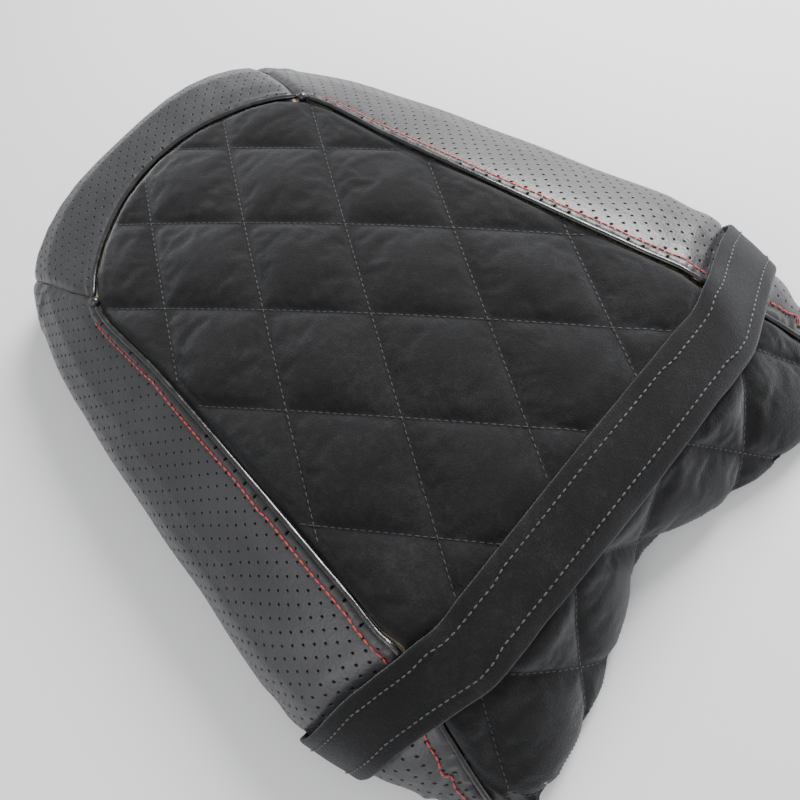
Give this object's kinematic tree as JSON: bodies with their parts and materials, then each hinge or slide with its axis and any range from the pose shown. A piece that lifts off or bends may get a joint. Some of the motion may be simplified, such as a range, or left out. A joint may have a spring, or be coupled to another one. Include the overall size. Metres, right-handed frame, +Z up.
{
  "type": "motorcycle passenger seat",
  "caption": "Motorcycle passenger seat with a diamond-quilted top, perforated side and tail panels, a grab strap and a moulded base with latch striker and hooks.",
  "frame": {"origin": "bottom centre of the bounding box, on the plane the rubber bumpers stand on", "axes": "+Z up, +X to the seat's right side, +Y towards the tail, so the notched front edge faces -Y"},
  "size_m": [0.3078, 0.3746, 0.0673],
  "materials": {
    "suede": "matte",
    "vinyl": "satin",
    "piping": "gloss",
    "foam": "matte",
    "wadding": "matte",
    "base_plastic": "matte",
    "rubber": "matte",
    "zinc_steel": "satin",
    "black_steel": "satin",
    "brass": "satin"
  },
  "bodies": {
    "root": {"top_panel": "suede", "side_panel_left": "vinyl", "side_panel_right": "vinyl", "tail_panel": "vinyl", "piping_left": "piping", "piping_right": "piping", "piping_tail": "piping", "quilt_wadding": "wadding", "foam_cushion": "foam", "seat_pan": "base_plastic", "passenger_strap": "suede", "striker_plate": "zinc_steel", "striker_loop": "zinc_steel", "strap_plate_left": "zinc_steel", "hook_left": "black_steel", "strap_bolt_left": "zinc_steel", "strap_insert_left": "brass", "striker_bolt_left": "zinc_steel", "striker_insert_left": "brass", "hook_bolt_left": "zinc_steel", "hook_insert_left": "brass", "bumper_front_left": "rubber", "bumper_rear_left": "rubber", "strap_plate_right": "zinc_steel", "hook_right": "black_steel", "strap_bolt_right": "zinc_steel", "strap_insert_right": "brass", "striker_bolt_right": "zinc_steel", "striker_insert_right": "brass", "hook_bolt_right": "zinc_steel", "hook_insert_right": "brass", "bumper_front_right": "rubber", "bumper_rear_right": "rubber"}
  },
  "joints": []
}
